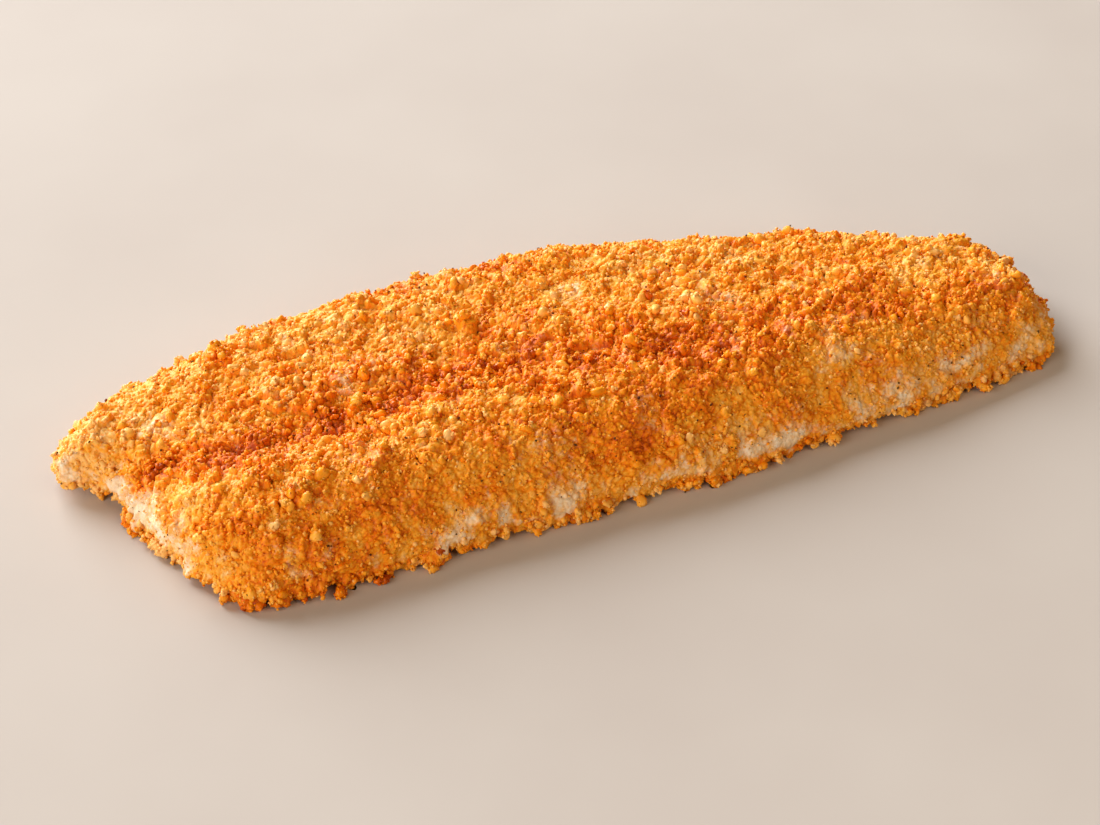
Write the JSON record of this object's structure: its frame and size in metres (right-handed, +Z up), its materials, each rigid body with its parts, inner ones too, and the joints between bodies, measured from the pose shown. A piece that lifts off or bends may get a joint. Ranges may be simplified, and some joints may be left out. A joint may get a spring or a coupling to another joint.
{
  "type": "fried fish fillet",
  "caption": "Long breaded fish fillet with a blunt slanted end, a rounded thinner end and a shallow groove along its top, lying on a flat underside.",
  "frame": {"origin": "middle of the fillet's length and width, on the surface that it rests on", "axes": "+X along the fillet from the blunt head end to the rounded tail end, -Y towards the thick near side, +Z up"},
  "size_m": [0.2, 0.0754, 0.0175],
  "materials": {
    "breadcrumb_crust": "golden-orange baked breadcrumbs, slightly oily, over pale fish at the sides"
  },
  "bodies": {
    "root": {"fish_fillet": "breadcrumb_crust"}
  },
  "joints": []
}
